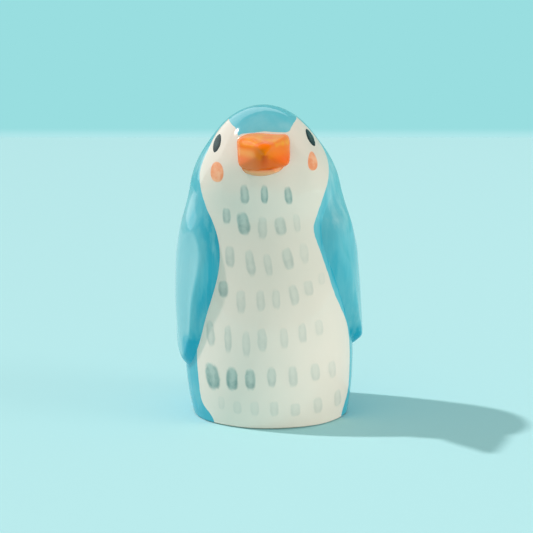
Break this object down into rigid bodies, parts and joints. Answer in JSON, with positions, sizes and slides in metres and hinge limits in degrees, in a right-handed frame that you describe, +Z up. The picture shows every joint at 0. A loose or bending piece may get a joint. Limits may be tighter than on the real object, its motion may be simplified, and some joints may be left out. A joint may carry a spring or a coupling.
{
  "type": "penguin figurine",
  "caption": "Free-standing hollow ceramic penguin ornament with blue flippers and back, white painted front, orange bill, and a flat foot to rest on.",
  "frame": {"origin": "on the resting plane, under the middle of the figure's outer box", "axes": "+Z up from foot to crown, the bill points towards -Y, the figure's own left side lies towards +X"},
  "size_m": [0.061, 0.0594, 0.1],
  "materials": {
    "bisque": "unglazed, matt",
    "white_glaze": "gloss",
    "blue_glaze": "gloss, brushed unevenly",
    "orange_glaze": "gloss, brushed unevenly",
    "lip_glaze": "gloss",
    "eye_enamel": "gloss",
    "cheek_enamel": "gloss",
    "feather_enamel": "gloss, thin wash"
  },
  "bodies": {
    "root": {"body_shell": "bisque", "foot_disc": "bisque", "front_glaze": "white_glaze", "back_glaze": "blue_glaze", "right_flipper": "blue_glaze", "left_flipper": "blue_glaze", "upper_bill": "orange_glaze", "lower_bill": "lip_glaze", "right_eye": "eye_enamel", "left_eye": "eye_enamel", "right_cheek_spot": "cheek_enamel", "left_cheek_spot": "cheek_enamel", "feather_row_1": "feather_enamel", "feather_row_2": "feather_enamel", "feather_row_3": "feather_enamel", "feather_row_4": "feather_enamel", "feather_row_5": "feather_enamel", "feather_row_6": "feather_enamel", "feather_row_7": "feather_enamel"}
  },
  "joints": []
}
